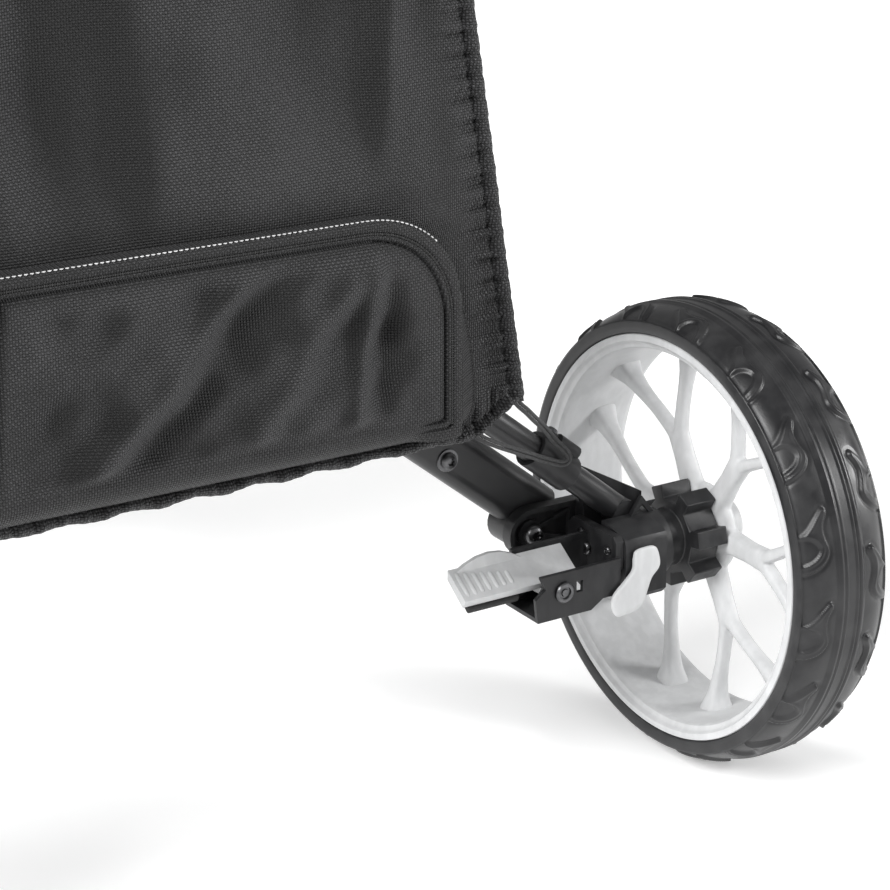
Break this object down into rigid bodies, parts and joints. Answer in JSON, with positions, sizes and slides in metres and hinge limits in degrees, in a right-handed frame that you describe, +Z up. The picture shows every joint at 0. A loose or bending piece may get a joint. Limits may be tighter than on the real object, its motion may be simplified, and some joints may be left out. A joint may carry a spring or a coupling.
{
  "type": "golf bag on push cart",
  "caption": "Three-wheeled folding push cart with a golf bag strapped to its leaning spine, foot brakes on the rear wheels and a zipped fabric pouch between the rear legs.",
  "frame": {"origin": "on the ground, under the middle of the cart's length and width", "axes": "+Z up, +Y ahead from the user to the front wheel, +X to the user's right, along the rear axles"},
  "size_m": [0.728, 1.15, 1.0587],
  "materials": {
    "black_plastic": "fine textured moulded black plastic",
    "grey_plastic": "smooth satin light grey plastic",
    "frame_paint": "black powder-coated aluminium tube",
    "steel": "zinc-plated steel",
    "tyre_rubber": "matte black foam-filled rubber",
    "sole_rubber": "matte black rubber",
    "bag_fabric": "dark grey woven polyester",
    "pouch_fabric": "dark grey coarse woven polyester",
    "webbing": "black webbing and padded mesh",
    "cord": "braided black elastic cord",
    "grip_foam": "black foam grip"
  },
  "bodies": {
    "frame": {"hub_block": "black_plastic", "lower_stay": "frame_paint", "rear_strut": "frame_paint", "hanger_bar": "frame_paint", "front_block": "black_plastic", "spine_tube": "frame_paint", "lower_cradle": "black_plastic", "upper_cradle": "black_plastic", "bag_base": "black_plastic", "bag_body": "bag_fabric", "bag_cuff": "webbing", "lower_strap": "webbing", "upper_strap": "webbing", "bag_pocket_right": "bag_fabric", "bag_pocket_left": "bag_fabric", "bag_pocket_front": "bag_fabric", "rear_pouch": "pouch_fabric", "rear_pocket": "pouch_fabric", "shock_cord_right": "cord", "shock_cord_left": "cord"},
    "zip": {"zip_slider": "steel"},
    "handle": {"handle_stem": "frame_paint", "handle_pin": "steel", "handle_bow": "frame_paint", "handle_grip": "grip_foam", "console": "black_plastic"},
    "card_clip": {"scorecard_clip": "grey_plastic"},
    "fork": {"front_fork": "black_plastic", "front_axle": "steel"},
    "front_wheel": {"front_rim": "grey_plastic", "front_tyre": "tyre_rubber"},
    "leg_right": {"leg_tube_right": "frame_paint"},
    "link_right": {"link_tube_right": "frame_paint", "cord_clip_right": "black_plastic"},
    "bracket_right": {"wheel_bracket_right": "black_plastic", "leg_pivot_bolt_right": "steel", "pedal_arm_right": "black_plastic", "pedal_pin_right": "steel"},
    "pedal_right": {"brake_pedal_right": "grey_plastic", "pedal_sole_right": "sole_rubber"},
    "release_right": {"wheel_release_right": "grey_plastic"},
    "wheel_right": {"wheel_axle_right": "steel", "brake_gear_right": "black_plastic", "rear_rim_right": "grey_plastic", "rear_tyre_right": "tyre_rubber"},
    "leg_left": {"leg_tube_left": "frame_paint"},
    "link_left": {"link_tube_left": "frame_paint", "cord_clip_left": "black_plastic"},
    "bracket_left": {"wheel_bracket_left": "black_plastic", "leg_pivot_bolt_left": "steel", "pedal_arm_left": "black_plastic", "pedal_pin_left": "steel"},
    "pedal_left": {"brake_pedal_left": "grey_plastic", "pedal_sole_left": "sole_rubber"},
    "release_left": {"wheel_release_left": "grey_plastic"},
    "wheel_left": {"wheel_axle_left": "steel", "brake_gear_left": "black_plastic", "rear_rim_left": "grey_plastic", "rear_tyre_left": "tyre_rubber"}
  },
  "joints": [
    {"name": "zip_slide", "type": "slide", "parent": "frame", "child": "zip", "axis": [1, 0, 0], "range_m": [0, 0.17]},
    {"name": "handle_tilt", "type": "hinge", "parent": "frame", "child": "handle", "pos_m": [0, -0.31629, 0.80129], "axis": [1, 0, 0], "range_deg": [0, 40]},
    {"name": "card_clip_lift", "type": "hinge", "parent": "handle", "child": "card_clip", "pos_m": [0, -0.47034, 0.94609], "axis": [1, 0, 0], "range_deg": [0, 30], "stiffness_Nm_per_rad": 0.2},
    {"name": "front_fold", "type": "hinge", "parent": "frame", "child": "fork", "pos_m": [0, 0.29, 0.215], "axis": [-1, 0, 0], "range_deg": [0, 115]},
    {"name": "front_wheel_spin", "type": "hinge", "parent": "fork", "child": "front_wheel", "pos_m": [0, 0.46, 0.115], "axis": [1, 0, 0], "continuous": true},
    {"name": "leg_fold_right", "type": "hinge", "parent": "frame", "child": "leg_right", "pos_m": [0.045, -0.1335, 0.3], "axis": [0, 1, 0], "range_deg": [0, 40], "deforming": ["shock_cord_right"]},
    {"name": "link_fold_right", "type": "hinge", "parent": "frame", "child": "link_right", "pos_m": [0.096, -0.172, 0.3116], "axis": [0, 1, 0], "range_deg": [0, 40]},
    {"name": "bracket_level_right", "type": "hinge", "parent": "leg_right", "child": "bracket_right", "pos_m": [0.224, -0.1335, 0.1564], "axis": [0, 1, 0], "range_deg": [-40, 0]},
    {"name": "pedal_press_right", "type": "hinge", "parent": "bracket_right", "child": "pedal_right", "pos_m": [0.2102, -0.19, 0.1406], "axis": [0, -1, 0], "range_deg": [0, 15]},
    {"name": "release_pull_right", "type": "hinge", "parent": "bracket_right", "child": "release_right", "pos_m": [0.27, -0.2103, 0.157], "axis": [-1, 0, 0], "range_deg": [0, 15], "stiffness_Nm_per_rad": 0.15},
    {"name": "rear_wheel_spin_right", "type": "hinge", "parent": "bracket_right", "child": "wheel_right", "pos_m": [0.3, -0.18, 0.146], "axis": [1, 0, 0], "continuous": true},
    {"name": "leg_fold_left", "type": "hinge", "parent": "frame", "child": "leg_left", "pos_m": [-0.045, -0.1335, 0.3], "axis": [0, -1, 0], "range_deg": [0, 40], "deforming": ["shock_cord_left"]},
    {"name": "link_fold_left", "type": "hinge", "parent": "frame", "child": "link_left", "pos_m": [-0.096, -0.172, 0.3116], "axis": [0, -1, 0], "range_deg": [0, 40]},
    {"name": "bracket_level_left", "type": "hinge", "parent": "leg_left", "child": "bracket_left", "pos_m": [-0.224, -0.1335, 0.1564], "axis": [0, -1, 0], "range_deg": [-40, 0]},
    {"name": "pedal_press_left", "type": "hinge", "parent": "bracket_left", "child": "pedal_left", "pos_m": [-0.2102, -0.19, 0.1406], "axis": [0, 1, 0], "range_deg": [0, 15]},
    {"name": "release_pull_left", "type": "hinge", "parent": "bracket_left", "child": "release_left", "pos_m": [-0.27, -0.2103, 0.157], "axis": [-1, 0, 0], "range_deg": [0, 15], "stiffness_Nm_per_rad": 0.15},
    {"name": "rear_wheel_spin_left", "type": "hinge", "parent": "bracket_left", "child": "wheel_left", "pos_m": [-0.3, -0.18, 0.146], "axis": [1, 0, 0], "continuous": true}
  ],
  "couplings": [
    {"joint": "link_fold_right", "follows": "leg_fold_right", "ratio": 1},
    {"joint": "bracket_level_right", "follows": "leg_fold_right", "ratio": -1},
    {"joint": "link_fold_left", "follows": "leg_fold_left", "ratio": 1},
    {"joint": "bracket_level_left", "follows": "leg_fold_left", "ratio": -1}
  ]
}
